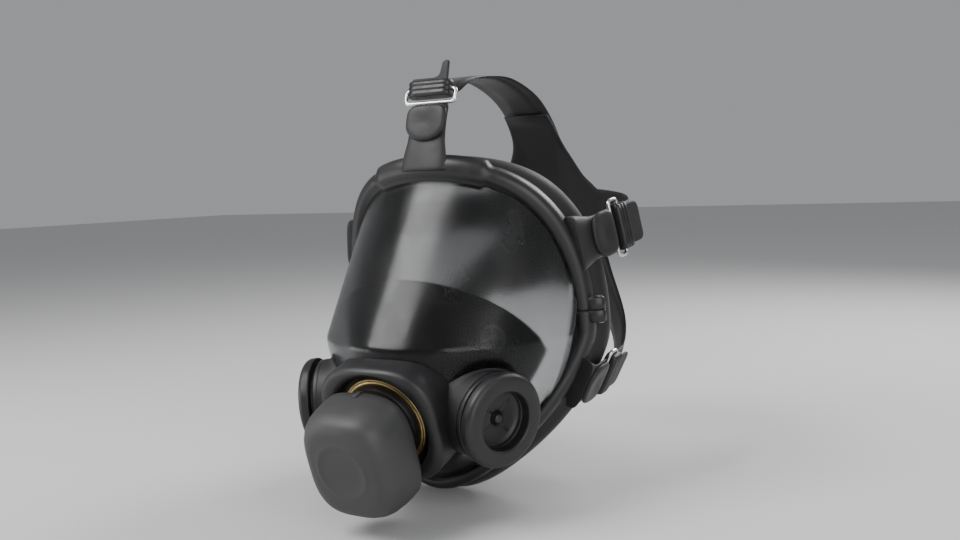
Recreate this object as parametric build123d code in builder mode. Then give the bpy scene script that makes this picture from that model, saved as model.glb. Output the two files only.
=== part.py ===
"""Full face respirator: a panoramic lens in a two-part frame, a rubber face seal, an inner nose cup,
two side inlet ports, a front exhalation port with its cover, and a five-strap head harness on wire buckles.

Frame: millimetres, +Z up, -Y is the way the wearer looks, +X is the wearer's left.
The origin is the middle of the face opening, level with the widest part of the lens.
"""

import os
from math import cos, pi, radians, sin, sqrt

from build123d import *

# ---------------------------------------------------------------- driving dimensions
# Lens: a dome of level, elliptical sections. Its front line leans back above the brow of the front port.
lens_top = 98.5
lens_bottom = -111.0
brow_height = -10.0  # the most forward level of the lens
brow_reach = 58.0  # how far forward of the face opening that level lies
rim_setback = 8.0  # where the lens meets the rim on the centre line
lens_half_width = 89.6
crown_flare = 6.0  # how much wider the section's half-width is at the top
chin_taper = 35.0  # how much narrower it is at the chin
section_depth = 108.0  # half-length of each section, front to back
lens_wall = 2.5
rim_wrap_radius = 115.0  # the rim lies on an upright cylinder of this radius
edge_cover = 2.0  # how far the lens runs into the frame, past the rim line
slot_gap = 0.2

# Frame round the lens
bead_out = 7.4  # half-thickness of the frame, across the lens edge
bead_back = 8.0  # half-thickness of the frame, front to back
top_pad_extra = 2.2  # the frame is thicker where the top strap lug is moulded on
top_pad_half_angle = 22.0
joint_angle = 82.0  # where the two frame halves meet, from the top, round the rim
joint_gap = 0.4
ear_reach = 8.0
ear_length = 9.0
ear_depth = 11.0
screw_radius = 1.4
screw_clearance = 0.1
screw_head_radius = 2.4
screw_head_height = 2.0

# Face seal
seal_gap = 0.1
seal_out = 9.5
seal_depth = 23.0
seal_wall = 2.8
seal_lip_in = 11.0

# Nose cup
cup_gap_top, cup_gap_low = 3.0, 12.5
cup_wall = 2.5
cup_setback = -4.0  # the cup stops this far ahead of the rim
cup_peak_y = -29.0
cup_peak_z = 30.0
cup_slope = 41.5  # the cup's mouth falls away backwards at this angle

# Side ports
port_x, port_y, port_z = 73.0, -32.3, -53.0  # centre of the outer face
port_swing = 69.0  # the port's axis, from straight ahead
port_droop = 6.0
port_ring_radius = 29.0
port_ring_height = 7.5
port_bore_radius = 17.6
port_mouth_depth = 6.0
port_throat_radius = 16.9
port_groove_radius = 24.5
port_groove_height = 2.2
port_base_radius = 27.5
port_base_height = 3.6
port_tube_radius = 19.6
port_nut_radius = 23.0
port_nut_height = 5.0
seat_depth = 9.5
seat_wall = 1.6
spoke_width = 1.5
flap_thickness = 0.9
flap_gap = 0.15
flap_edge = 1.2  # clearance round the flap
flap_travel = 1.5
knob_radius = 3.4
knob_height = 3.0
stud_radius = 1.2
stud_clearance = 0.1
stud_head = 2.1

# Check valves in the nose cup
cup_valve_radius = 9.0
cup_valve_rim = 1.6
cup_valve_travel = 1.0

# Front port: its axis lies in the middle plane and points forwards and down
front_y, front_z = -60.0, -56.5  # middle of the recess, at the housing's front face
front_droop = 18.0
housing_width, housing_height = 84.0, 77.0
housing_corner = 31.0
housing_edge = 4.0
recess_radius = 33.5
recess_depth = 9.0
recess_floor = 2.4
neck_radius = 25.0
neck_bore = 21.5
neck_front = 12.0
neck_inside = 31.0
neck_lip = 1.6
brass_inner, brass_outer, brass_height = 25.0, 29.4, 3.4
front_nut_radius = 28.0
front_nut_height = 5.0
valve_radius = 23.4
valve_thickness = 1.2
valve_travel = 2.0
valve_stem_radius = 1.6
stem_clearance = 0.1
valve_hub_radius = 4.5
exhale_seat_height = 4.0

# Front cover
cover_width, cover_height = 63.0, 71.0
cover_drop = -7.0  # the cover hangs this much lower than the port's axis
cover_back, cover_front = 8.0, 41.0
cover_corner = 21.0
cover_wall = 3.0
cover_edge = 9.0
cover_face_radius = 17.0
cover_fit = 0.06
rib_width = 3.0
rib_front = 14.0
rib_count = 6

# Buckles, one pattern for all five straps
wire_radius = 1.3
wire_half_length = 18.8
wire_reach = 9.0
wire_corner = 2.8
lug_half_width = 15.4
lug_root_half_width = 18.5
lug_low, lug_high = -2.4, 2.2
lug_length = {"top": 46.0, "upper": 40.0, "lower": 26.6}
lug_end = 0.4  # how far the tab reaches past the wire's middle
flap_length = 25.0
flap_thickness_out = 2.4
eye_gap = 0.08
lug_clearance = 0.15
foot_length, foot_depth = 20.0, 10.0  # the root block that reaches down to the seal
slider_half_width = 15.6
slider_start, slider_end = 3.2, 14.6
slider_low, slider_high = -4.2, 5.2
tail_half_width = 13.6
tail_thickness = 2.0
tail_length = 24.0
top_tail_length = 12.6  # the top tail is cut on a slant: short, with a narrow point at one side
tail_horn_width = 4.0
tail_height = 1.6  # underside of the tail above the wire's plane
tail_gap = 0.15

# Harness
strap_thickness = 2.4
top_strap_half_width = 19.0
arm_half_width = 14.0
arm_gap = 0.9
arm_low = -3.4  # underside of a strap where it meets its slider
head_x, head_y, head_z = 84.0, 98.0, 118.0  # half-sizes of the form the harness lies on
head_centre_y, head_centre_z = 95.0, 40.0
pad_half_outline = [(18, 138), (21, 118), (27, 104), (35, 91), (46, 82), (52, 76), (52, 54), (42, 46), (38, 34),
                    (38, 18), (46, 8), (42, -4), (24, -2), (0, 2)]
pad_low, pad_high = -12.0, 142.0
pad_thickness = 3.0

os.makedirs("parts", exist_ok=True)
made = []


def keep(part, name):
    """Labels a finished piece and writes it to its own file."""
    part.label = name
    export_step(part, f"parts/{name}.step")
    made.append((name, part))


# ---------------------------------------------------------------- the lens's form
def front_of(z):
    """How far forward the lens reaches at a level: a straight, leaning brow above and a curved chin below."""
    if z >= brow_height:
        return -brow_reach + (z - brow_height) / (lens_top - brow_height) * (brow_reach + rim_setback)
    share = (brow_height - z) / (brow_height - lens_bottom)
    return -brow_reach + (brow_reach + rim_setback) * share**2.0


def half_width_of(z):
    """Half the width of the section at a level."""
    if z >= brow_height:
        return lens_half_width + crown_flare * ((z - brow_height) / (lens_top - brow_height)) ** 6
    return lens_half_width - chin_taper * ((brow_height - z) / (brow_height - lens_bottom)) ** 1.3


def level_shift(z):
    """How much a level moves for each millimetre the form is grown."""
    if z >= brow_height:
        return 0.3 * (z - brow_height) / (lens_top - brow_height)
    return -0.95 * (brow_height - z) / (brow_height - lens_bottom)


def lens_form(growth_at):
    """The solid dome inside the lens's outer surface, grown or shrunk by an amount, or by one for each level."""
    levels = [lens_bottom - 5 + i * (lens_top + 14 - lens_bottom) / 13 for i in range(14)]
    with BuildPart() as form:
        for z in levels:
            growth = growth_at(z) if callable(growth_at) else growth_at
            with BuildSketch(Plane.XY.offset(z + growth * level_shift(z))):
                with Locations((0, front_of(z) + section_depth)):
                    Ellipse(half_width_of(z) + growth, section_depth + growth)
        loft()
    return form.part


def ahead_of_rim(setback):
    """Everything in front of the rim's upright cylinder, moved back by setback."""
    with BuildPart() as ahead:
        with BuildSketch(Plane.XY.offset(lens_bottom - 60)):
            Rectangle(260, 320)
            with Locations((0, rim_setback + setback + rim_wrap_radius)):
                Circle(rim_wrap_radius, mode=Mode.SUBTRACT)
            with Locations((0, rim_setback + setback + 160 + rim_wrap_radius)):
                Rectangle(260, 320, mode=Mode.SUBTRACT)
        extrude(amount=lens_top - lens_bottom + 120)
    return ahead.part


def rim_depth(x):
    """The rim cylinder's front surface at a width x."""
    return rim_setback + rim_wrap_radius - sqrt(rim_wrap_radius**2 - x * x)


def rim_point(angle):
    """The point of the rim at an angle from the top, seen from the front. Positive is the wearer's left."""
    middle_z = -8.0
    inner, outer = 50.0, 125.0
    for _ in range(40):
        reach = (inner + outer) / 2
        x, z = reach * sin(radians(angle)), middle_z + reach * cos(radians(angle))
        wide = half_width_of(z) - lens_wall / 2
        inside = abs(x) < wide and front_of(z) + section_depth * (1 - sqrt(1 - (x / wide) ** 2)) < rim_depth(x)
        inner, outer = (reach, outer) if inside else (inner, reach)
    return Vector(x, rim_depth(x), z)


def rim_plane(angle):
    """A plane square to the rim: its x points outwards from the lens and its y points forwards or back."""
    along = (rim_point(angle + 0.5) - rim_point(angle - 0.5)).normalized()
    back = (Vector(0, 1, 0) - along * along.Y).normalized()
    return Plane(origin=rim_point(angle), x_dir=along.cross(back), z_dir=along)


def rim_loft(start, end, count, profile, ruled=False):
    """A solid that follows the rim from one angle to another. profile(angle) draws the section."""
    with BuildPart() as band:
        for i in range(count):
            angle = start + (end - start) * i / (count - 1)
            with BuildSketch(rim_plane(angle)):
                profile(angle)
        loft(ruled=ruled)
    return band.part


outer_form = lens_form(0)

# ---------------------------------------------------------------- port frames
side_axis = {
    side: Vector(
        side * sin(radians(port_swing)) * cos(radians(port_droop)),
        -cos(radians(port_swing)) * cos(radians(port_droop)),
        -sin(radians(port_droop)),
    )
    for side in (1, -1)
}
side_plane = {
    side: Plane(origin=(side * port_x, port_y, port_z), x_dir=Vector(0, 0, 1).cross(axis), z_dir=axis)
    for side, axis in side_axis.items()
}
front_axis = Vector(0, -cos(radians(front_droop)), -sin(radians(front_droop)))
front_plane = Plane(origin=(0, front_y, front_z), x_dir=(1, 0, 0), z_dir=front_axis)


def rod(plane, radius, start, end):
    """A round bar square to a plane, between two heights above it."""
    with BuildPart() as bar:
        with BuildSketch(plane.offset(start)):
            Circle(radius)
        extrude(amount=end - start)
    return bar.part


# ---------------------------------------------------------------- lens
with BuildPart() as lens:
    add(outer_form)
    add(lens_form(-lens_wall), mode=Mode.SUBTRACT)
    add(ahead_of_rim(edge_cover), mode=Mode.INTERSECT)
    for side in (1, -1):
        add(rod(side_plane[side], port_tube_radius + slot_gap, -70, 5), mode=Mode.SUBTRACT)
    add(rod(front_plane, neck_radius + slot_gap, -60, 20), mode=Mode.SUBTRACT)
keep(lens.part, "lens")


# ---------------------------------------------------------------- frame round the lens
def bead_section(angle):
    """The frame's round section, thicker over the top strap lug."""
    extra = top_pad_extra if abs(angle) < top_pad_half_angle else 0
    Ellipse(bead_out + extra, bead_back)


lens_slot = lens_form(slot_gap) - lens_form(-lens_wall - slot_gap)
lens_slot = lens_slot & ahead_of_rim(edge_cover + slot_gap)
gap_angle = 0.15


def ear(side, turn):
    """The lug at a frame joint that takes the clamp screw. turn is 1 above the joint and -1 below."""
    plane = rim_plane(side * joint_angle)
    up = -side * turn
    with BuildPart() as lug:
        with BuildSketch(plane.offset(up * joint_gap / 2)):
            with Locations((bead_out + ear_reach / 2 - 2, 0)):
                RectangleRounded(ear_reach + 4, ear_depth, 2.5)
        extrude(amount=up * ear_length)
        sink = screw_plane(side).offset(up * (ear_length - screw_head_height - 0.3))
        with BuildSketch(sink):
            Circle(screw_head_radius + 0.2)
        extrude(amount=up * 6, mode=Mode.SUBTRACT)
    return lug.part


def screw_plane(side):
    """The clamp screw's axis, square to the joint."""
    plane = rim_plane(side * joint_angle)
    return Plane(origin=plane.origin + plane.x_dir * (bead_out + ear_reach / 2), x_dir=plane.x_dir, z_dir=plane.z_dir)


with BuildPart() as lens_frame_upper:
    add(rim_loft(-joint_angle + gap_angle, joint_angle - gap_angle, 27, bead_section))
    for side in (1, -1):
        add(ear(side, 1))
        add(rod(screw_plane(side), screw_radius + screw_clearance, -20, 20), mode=Mode.SUBTRACT)
    add(lens_slot, mode=Mode.SUBTRACT)
keep(lens_frame_upper.part, "lens_frame_upper")

with BuildPart() as lens_frame_lower:
    add(rim_loft(joint_angle + gap_angle, 180, 21, bead_section))
    add(ear(1, -1))
    add(rod(screw_plane(1), screw_radius + screw_clearance, -20, 20), mode=Mode.SUBTRACT)
    add(lens_slot, mode=Mode.SUBTRACT)
    mirror(about=Plane.YZ)
keep(lens_frame_lower.part, "lens_frame_lower")

# The two clamp screws and their nuts pull the frame halves together.
with BuildPart() as frame_screws:
    for side in (1, -1):
        axis = screw_plane(side)
        seat = ear_length - screw_head_height - 0.25
        add(rod(axis, screw_radius, -seat - 1, seat + 1))
        for low in (seat, -seat - screw_head_height):
            add(rod(axis, screw_head_radius, low, low + screw_head_height))
keep(frame_screws.part, "frame_screws")


# ---------------------------------------------------------------- face seal
def seal_section(angle):
    """The seal's wall runs back from the frame and turns in to a soft lip against the face."""
    front = -bead_back - seal_gap - 0.8
    Polygon(
        (-3.5, front),
        (4.5, front),
        (seal_out, front - 7),
        (seal_out, front - 14),
        (4.0, front - 20),
        (-5.0, front - seal_depth),
        (-seal_lip_in, front - seal_depth + 1.5),
        (-seal_lip_in, front - seal_depth + 3.0),
        (-4.5, front - seal_depth + seal_wall),
        (2.5, front - 17.5),
        (seal_out - seal_wall, front - 13),
        (seal_out - seal_wall, front - 8),
        (3.0, front - seal_wall),
        (-3.5, front - seal_wall),
        align=None,
    )


with BuildPart() as face_seal:
    add(rim_loft(0, 180, 25, seal_section, ruled=True))
    mirror(about=Plane.YZ)
keep(face_seal.part, "face_seal")


# ---------------------------------------------------------------- shared turned shapes
def turned(plane, *outlines):
    """A solid of revolution about a plane's axis. Each outline is a list of (radius, height)."""
    with BuildPart() as body:
        for points in outlines:
            with BuildSketch(Plane(origin=plane.origin, x_dir=plane.x_dir, z_dir=plane.y_dir * -1)):
                with BuildLine():
                    Polyline(*points, close=True)
                make_face()
            revolve(axis=Axis(plane.origin, plane.z_dir))
    return body.part


def spoked_plate(plane, radius, low, high, hub_radius):
    """A disc between two heights with four sector-shaped windows round a hub."""
    with BuildPart() as plate:
        with BuildSketch(plane.offset(low)):
            Circle(radius)
            Circle(radius - 2.2, mode=Mode.SUBTRACT)
            with PolarLocations(0, 2):
                Rectangle(2 * radius - 2, spoke_width)
            with PolarLocations(0, 2, 90):
                Rectangle(2 * radius - 2, spoke_width)
            Circle(hub_radius)
        extrude(amount=high - low)
    return plate.part


def flap_disc(plane, radius, high):
    """A soft valve disc that slides on its stud, just behind its seat."""
    hole = stud_radius + stud_clearance
    low = high - flap_thickness
    return turned(plane, [(hole, low), (radius, low), (radius, high), (hole, high)])


# ---------------------------------------------------------------- nose cup


def cup_growth(z):
    """The cup lies close behind the lens at the bridge of the nose and well inside it by the side ports."""
    share = min(max((z + 22.0) / 44.0, 0.0), 1.0)
    share = share * share * (3 - 2 * share)
    return -lens_wall - cup_gap_low + (cup_gap_low - cup_gap_top) * share


cup_outer = lens_form(cup_growth)
cup_inner = lens_form(lambda z: cup_growth(z) - cup_wall)
cup_mouth = Plane(
    origin=(0, cup_peak_y, cup_peak_z),
    x_dir=(1, 0, 0),
    z_dir=(0, sin(radians(cup_slope)), cos(radians(cup_slope))),
)
cup_valve_plane = {
    side: Plane(origin=(side * 52.0, -9.0, -8.0), x_dir=(0, 0, 1), z_dir=(side * 0.80, -0.50, 0.33))
    for side in (1, -1)
}
with BuildPart() as nose_cup:
    add(cup_outer)
    add(cup_inner, mode=Mode.SUBTRACT)
    add(ahead_of_rim(cup_setback), mode=Mode.INTERSECT)
    with BuildSketch(cup_mouth):
        Rectangle(400, 600)
    extrude(amount=200, mode=Mode.SUBTRACT)
    add(rod(front_plane, neck_radius, -60, 20), mode=Mode.SUBTRACT)
    for side in (1, -1):
        add(rod(cup_valve_plane[side], cup_valve_radius + cup_valve_rim, -6, 5))
        add(rod(cup_valve_plane[side], cup_valve_radius, -12, 12), mode=Mode.SUBTRACT)
keep(nose_cup.part, "nose_cup")

for side, word in ((1, "left"), (-1, "right")):
    plane = cup_valve_plane[side]
    low = -seat_wall / 2
    with BuildPart() as cup_seat:
        add(spoked_plate(plane, cup_valve_radius, low, low + seat_wall, 2.4))
        add(rod(plane, stud_radius, low - flap_gap - flap_thickness - cup_valve_travel - 0.2, low))
        add(rod(plane, stud_head, low - flap_gap - flap_thickness - cup_valve_travel - 1.2,
                low - flap_gap - flap_thickness - cup_valve_travel - 0.2))
    keep(cup_seat.part, f"cup_valve_seat_{word}")
    keep(flap_disc(plane, cup_valve_radius - flap_edge, low - flap_gap), f"cup_valve_flap_{word}")

# ---------------------------------------------------------------- side ports
port_back = -port_ring_height - port_groove_height - port_base_height
inside_limit = lens_form(-lens_wall - port_nut_height - 0.5)
lens_inner = lens_form(-lens_wall)
lens_nut_back = lens_form(-lens_wall - port_nut_height)
for side, word in ((1, "left"), (-1, "right")):
    plane = side_plane[side]
    groove_top = -port_ring_height
    groove_foot = groove_top - port_groove_height
    seat_low = -seat_depth - seat_wall
    with BuildPart() as side_port:
        add(turned(
            plane,
            [
                (port_throat_radius, -port_mouth_depth),
                (port_bore_radius, -port_mouth_depth),
                (port_bore_radius, 0.0),
                (port_ring_radius - 3.2, 0.0),
                (port_ring_radius - 1.0, -0.9),
                (port_ring_radius, -3.0),
                (port_ring_radius, groove_top + 1.2),
                (port_ring_radius - 1.2, groove_top),
                (port_groove_radius, groove_top),
                (port_groove_radius, groove_foot),
                (port_base_radius, groove_foot),
                (port_base_radius, port_back),
                (port_tube_radius, port_back),
                (port_tube_radius, -60.0),
                (port_throat_radius, -60.0),
            ],
        ))
        add(inside_limit, mode=Mode.SUBTRACT)
        add(rod(front_plane, neck_radius + 0.5, -80, 0), mode=Mode.SUBTRACT)
        add(spoked_plate(plane, port_throat_radius + 0.5, seat_low, -seat_depth, knob_radius))
        add(rod(plane, knob_radius, -seat_depth, -seat_depth + knob_height))
        stud_end = seat_low - flap_gap - flap_thickness - flap_travel - 0.2
        add(rod(plane, stud_radius, stud_end, seat_low))
        add(rod(plane, stud_head, stud_end - 1.0, stud_end))
    keep(side_port.part, f"side_port_{word}")
    keep(flap_disc(plane, port_throat_radius - flap_edge, seat_low - flap_gap), f"inhale_flap_{word}")
    with BuildPart() as side_base:
        add(turned(plane, [(port_tube_radius, port_back), (port_base_radius, port_back),
                           (port_base_radius, -70.0), (port_tube_radius, -70.0)]))
        add(outer_form, mode=Mode.SUBTRACT)
        add(rod(front_plane, neck_radius + 0.5, -80, 0), mode=Mode.SUBTRACT)
    keep(side_base.part.solids().sort_by(SortBy.VOLUME)[-1], f"side_base_{word}")
    with BuildPart() as side_nut:
        add(turned(plane, [(port_tube_radius, -5.0), (port_nut_radius, -5.0),
                           (port_nut_radius, -68.0), (port_tube_radius, -68.0)]))
        add(lens_inner, mode=Mode.INTERSECT)
        add(lens_nut_back, mode=Mode.SUBTRACT)
        add(rod(front_plane, neck_radius + 0.5, -80, 0), mode=Mode.SUBTRACT)
    keep(side_nut.part.solids().sort_by(SortBy.VOLUME)[-1], f"side_nut_{word}")

# ---------------------------------------------------------------- front port
with BuildPart() as front_housing:
    with BuildSketch(front_plane):
        RectangleRounded(housing_width, housing_height, housing_corner)
    extrude(amount=-62)
    fillet(front_housing.faces().sort_by(Axis(front_plane.origin, front_axis))[-1].edges(), housing_edge)
    add(outer_form, mode=Mode.SUBTRACT)
    add(rod(front_plane, recess_radius, -recess_depth, 1), mode=Mode.SUBTRACT)
    add(rod(front_plane, neck_radius, -60, 1), mode=Mode.SUBTRACT)
    for side in (1, -1):
        add(rod(side_plane[side], port_base_radius + 0.6, -70, -2), mode=Mode.SUBTRACT)
keep(front_housing.part.solids().sort_by(SortBy.VOLUME)[-1], "front_housing")

with BuildPart() as port_neck:
    add(turned(
        front_plane,
        [
            (neck_bore, neck_front),
            (neck_radius, neck_front),
            (neck_radius, -neck_inside),
            (neck_bore, -neck_inside),
        ],
    ))
keep(port_neck.part, "port_neck")

keep(turned(
    front_plane,
    [
        (brass_inner, -recess_depth),
        (brass_outer, -recess_depth),
        (brass_outer, -recess_depth + brass_height - 0.8),
        (brass_outer - 0.8, -recess_depth + brass_height),
        (brass_inner, -recess_depth + brass_height),
    ],
), "brass_ring")

with BuildPart() as front_nut:
    add(turned(front_plane, [(neck_radius, 0.0), (front_nut_radius, 0.0),
                             (front_nut_radius, -60.0), (neck_radius, -60.0)]))
    add(lens_inner, mode=Mode.INTERSECT)
    add(lens_form(-lens_wall - front_nut_height), mode=Mode.SUBTRACT)
    for side in (1, -1):
        add(rod(side_plane[side], port_nut_radius + 0.5, -80, 0), mode=Mode.SUBTRACT)
keep(front_nut.part.solids().sort_by(SortBy.VOLUME)[-1], "front_nut")

seat_top = neck_front
with BuildPart() as exhale_seat:
    add(spoked_plate(front_plane, neck_bore, seat_top - exhale_seat_height, seat_top, valve_hub_radius))
    add(rod(front_plane, valve_stem_radius + stem_clearance, 0, 30), mode=Mode.SUBTRACT)
keep(exhale_seat.part, "exhale_seat")

valve_low = seat_top + flap_gap
bulb_top = seat_top - exhale_seat_height - valve_travel - 0.6
keep(turned(
    front_plane,
    [
        (0, valve_low + valve_thickness + 0.8),
        (4.0, valve_low + valve_thickness),
        (valve_radius, valve_low + valve_thickness - 0.4),
        (valve_radius, valve_low),
        (valve_stem_radius, valve_low),
        (valve_stem_radius, bulb_top),
        (2.4, bulb_top),
        (1.8, bulb_top - 2.4),
        (0, bulb_top - 2.4),
    ],
), "exhale_valve")


def cover_form(inset, back, front, edge):
    """The cover's blunt, rounded-square form."""
    with BuildPart() as form:
        with BuildSketch(front_plane.offset(back)):
            with Locations((0, cover_drop)):
                RectangleRounded(cover_width - 2 * inset, cover_height - 2 * inset, cover_corner - inset)
        extrude(amount=front - back, taper=3)
        fillet(form.faces().sort_by(Axis(front_plane.origin, front_axis))[-1].edges(), edge)
    return form.part


with BuildPart() as front_cover:
    add(cover_form(0, cover_back, cover_front, cover_edge))
    add(cover_form(cover_wall, cover_back - 1, cover_front - cover_wall, cover_edge - cover_wall), mode=Mode.SUBTRACT)
    with BuildSketch(front_plane.offset(cover_back)):
        with PolarLocations(0, rib_count, 30):
            with Locations((cover_width / 2, 0)):
                Rectangle(cover_width, rib_width)
        with Locations((0, cover_drop)):
            RectangleRounded(cover_width - cover_wall, cover_height - cover_wall, cover_corner - cover_wall / 2,
                             mode=Mode.INTERSECT)
    extrude(amount=rib_front - cover_back)
    add(rod(front_plane, neck_radius + cover_fit, cover_back - 3, rib_front + 1), mode=Mode.SUBTRACT)
    with BuildSketch(front_plane.offset(cover_front)):
        with Locations((0, cover_drop)):
            Circle(cover_face_radius)
            Circle(cover_face_radius - 1.6, mode=Mode.SUBTRACT)
    extrude(amount=0.5)
keep(front_cover.part, "front_cover")

# ---------------------------------------------------------------- buckles
bar_points = {
    "top": ((0, 11.9, 140.7), (0, 0.258, 0.966), (0, -0.966, 0.258)),
}
for side, word in ((1, "left"), (-1, "right")):
    for level, centre, run, lean in (
        ("upper", (99.0, 76.1, 54.7), (0.22, 0.95, 0.19), -6.0),
        ("lower", (90.5, 68.2, -42.7), (0.06, 0.985, 0.10), 28.0),
    ):
        run = Vector(*run).normalized()
        upright = Vector(sin(radians(lean)), 0, cos(radians(lean)))
        out = run.cross(upright).normalized()
        bar_points[f"{level}_{word}"] = (
            (side * centre[0], centre[1], centre[2]),
            (side * run.X, run.Y, run.Z),
            (side * out.X, out.Y, out.Z),
        )

buckle_plane = {
    name: Plane(origin=origin, x_dir=run, z_dir=out) for name, (origin, run, out) in bar_points.items()
}
lug_angle = {"top": 0, "upper_left": 57, "upper_right": -57, "lower_left": 115, "lower_right": -115}


def side_profile(plane, points, half_width):
    """A solid with a profile drawn along the strap and out from it, as wide as asked."""
    section = Plane(origin=plane.origin, x_dir=plane.x_dir, z_dir=plane.y_dir * -1)
    with BuildPart() as body:
        with BuildSketch(section):
            with BuildLine():
                Polyline(*points, close=True)
            make_face()
        extrude(amount=half_width, both=True)
    return body.part


def keep_clear_band(angle):
    """Everything the frame and the seal fill, with a little room round them."""
    Polygon(
        (-16, 10),
        (bead_out + top_pad_extra + lug_clearance, 10),
        (seal_out + lug_clearance, -8),
        (seal_out + lug_clearance, -34),
        (-16, -34),
        align=None,
    )


for name, plane in buckle_plane.items():
    middle = lug_angle[name]
    root = -lug_length[name.split("_")[0]]
    shoulder = max(-flap_length - 8, root + 1)
    with BuildPart() as strap_lug:
        add(side_profile(plane, [(root, lug_low), (lug_end, lug_low), (lug_end, lug_high), (root, lug_high)],
                         lug_root_half_width))
        with BuildSketch(plane.offset(lug_low - 1)):
            with BuildLine():
                Polyline((root - 1, -lug_root_half_width - 1), (shoulder, -lug_root_half_width - 1),
                         (shoulder + 8, -lug_half_width), (10, -lug_half_width), (10, lug_half_width),
                         (shoulder + 8, lug_half_width), (shoulder, lug_root_half_width + 1),
                         (root - 1, lug_root_half_width + 1), close=True)
            make_face()
        extrude(amount=lug_high - lug_low + 2, mode=Mode.INTERSECT)
        if name != "top":
            add(side_profile(plane, [(root, lug_low - foot_depth), (root + foot_length, lug_low - foot_depth),
                                     (root + foot_length + 6, lug_low), (root, lug_low)], lug_root_half_width))
        with BuildSketch(plane.offset(lug_high)):
            with Locations(((lug_end - flap_length) / 2, 0)):
                RectangleRounded(flap_length + lug_end, 2 * lug_half_width, 5)
            with Locations((lug_end - 4, 0)):
                Rectangle(8, 2 * lug_half_width)
        extrude(amount=flap_thickness_out)
        eye = Plane(origin=plane.origin, x_dir=plane.x_dir, z_dir=plane.y_dir)
        add(rod(eye, wire_radius + eye_gap, -30, 30), mode=Mode.SUBTRACT)
        add(rim_loft(middle - 28, middle + 28, 9, keep_clear_band), mode=Mode.SUBTRACT)
    keep(strap_lug.part.solids().sort_by(SortBy.VOLUME)[-1], f"strap_lug_{name}")

    with BuildSketch(plane) as wire_outline:
        with Locations((wire_reach / 2, 0)):
            RectangleRounded(wire_reach, 2 * wire_half_length, wire_corner)
    wire_path = wire_outline.sketch.wires()[0]
    with BuildPart() as buckle_wire:
        with BuildSketch(Plane(origin=wire_path @ 0, z_dir=wire_path % 0)):
            Circle(wire_radius)
        sweep(path=wire_path)
    keep(buckle_wire.part, f"buckle_wire_{name}")

    with BuildPart() as strap_slider:
        add(side_profile(plane, [
            (slider_start, slider_low + 1.5), (slider_start + 1.5, slider_low), (slider_end - 1, slider_low),
            (slider_end, slider_low + 1), (slider_end, slider_high - 1.5), (slider_end - 1.5, slider_high),
            (slider_start + 1.5, slider_high), (slider_start, slider_high - 1.5)], slider_half_width))
        bar = Plane(origin=plane.origin + plane.x_dir * wire_reach, x_dir=plane.x_dir, z_dir=plane.y_dir)
        add(rod(bar, wire_radius, -30, 30), mode=Mode.SUBTRACT)
        add(side_profile(plane, [
            (slider_start - 2, tail_height - tail_gap), (slider_end + 2, tail_height - tail_gap),
            (slider_end + 2, tail_height + tail_thickness + tail_gap),
            (slider_start - 2, tail_height + tail_thickness + tail_gap)], tail_half_width + tail_gap),
            mode=Mode.SUBTRACT)
    keep(strap_slider.part, f"strap_slider_{name}")

    with BuildPart() as strap_tail:
        length = top_tail_length if name == "top" else tail_length
        with BuildSketch(plane.offset(tail_height)):
            with Locations((slider_start + 0.3 + length / 2, 0)):
                RectangleRounded(length, 2 * tail_half_width, 2 if name == "top" else 4)
            if name == "top":
                with Locations((slider_start + 0.3 + tail_length / 2, -tail_half_width + tail_horn_width / 2)):
                    RectangleRounded(tail_length, tail_horn_width, tail_horn_width / 2 - 0.1)
        extrude(amount=tail_thickness)
    keep(strap_tail.part, f"strap_tail_{name}")


# ---------------------------------------------------------------- head harness
def head_point(x, z, back=1):
    """The point of the head form behind (or before) a spot seen from the rear."""
    share = 1 - (x / head_x) ** 2 - ((z - head_centre_z) / head_z) ** 2
    return Vector(x, head_centre_y + back * head_y * sqrt(share), z)


def head_normal(point):
    """The head form's outward direction near a point."""
    return Vector(point.X / head_x**2, (point.Y - head_centre_y) / head_y**2, (point.Z - head_centre_z) / head_z**2).normalized()


def strap_solid(stations):
    """A flat strap through stations of (point, width direction, half width)."""
    with BuildPart() as strap:
        for i, (point, across, half) in enumerate(stations):
            ahead = stations[min(i + 1, len(stations) - 1)][0]
            behind = stations[max(i - 1, 0)][0]
            along = (ahead - behind).normalized()
            flat = (across - along * across.dot(along)).normalized()
            with BuildSketch(Plane(origin=point, x_dir=flat, z_dir=along)):
                Rectangle(2 * half, strap_thickness)
        loft()
    return strap.part


def head_shell(grow):
    """The head form's middle part, grown by a little, as a dome of level sections."""
    with BuildPart() as form:
        for i in range(12):
            z = pad_low + i * (pad_high - pad_low) / 11
            share = sqrt(1 - ((z - head_centre_z) / head_z) ** 2)
            with BuildSketch(Plane.XY.offset(z)):
                with Locations((0, head_centre_y)):
                    Ellipse(head_x * share + grow, head_y * share + grow)
        loft()
    return form.part


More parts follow.
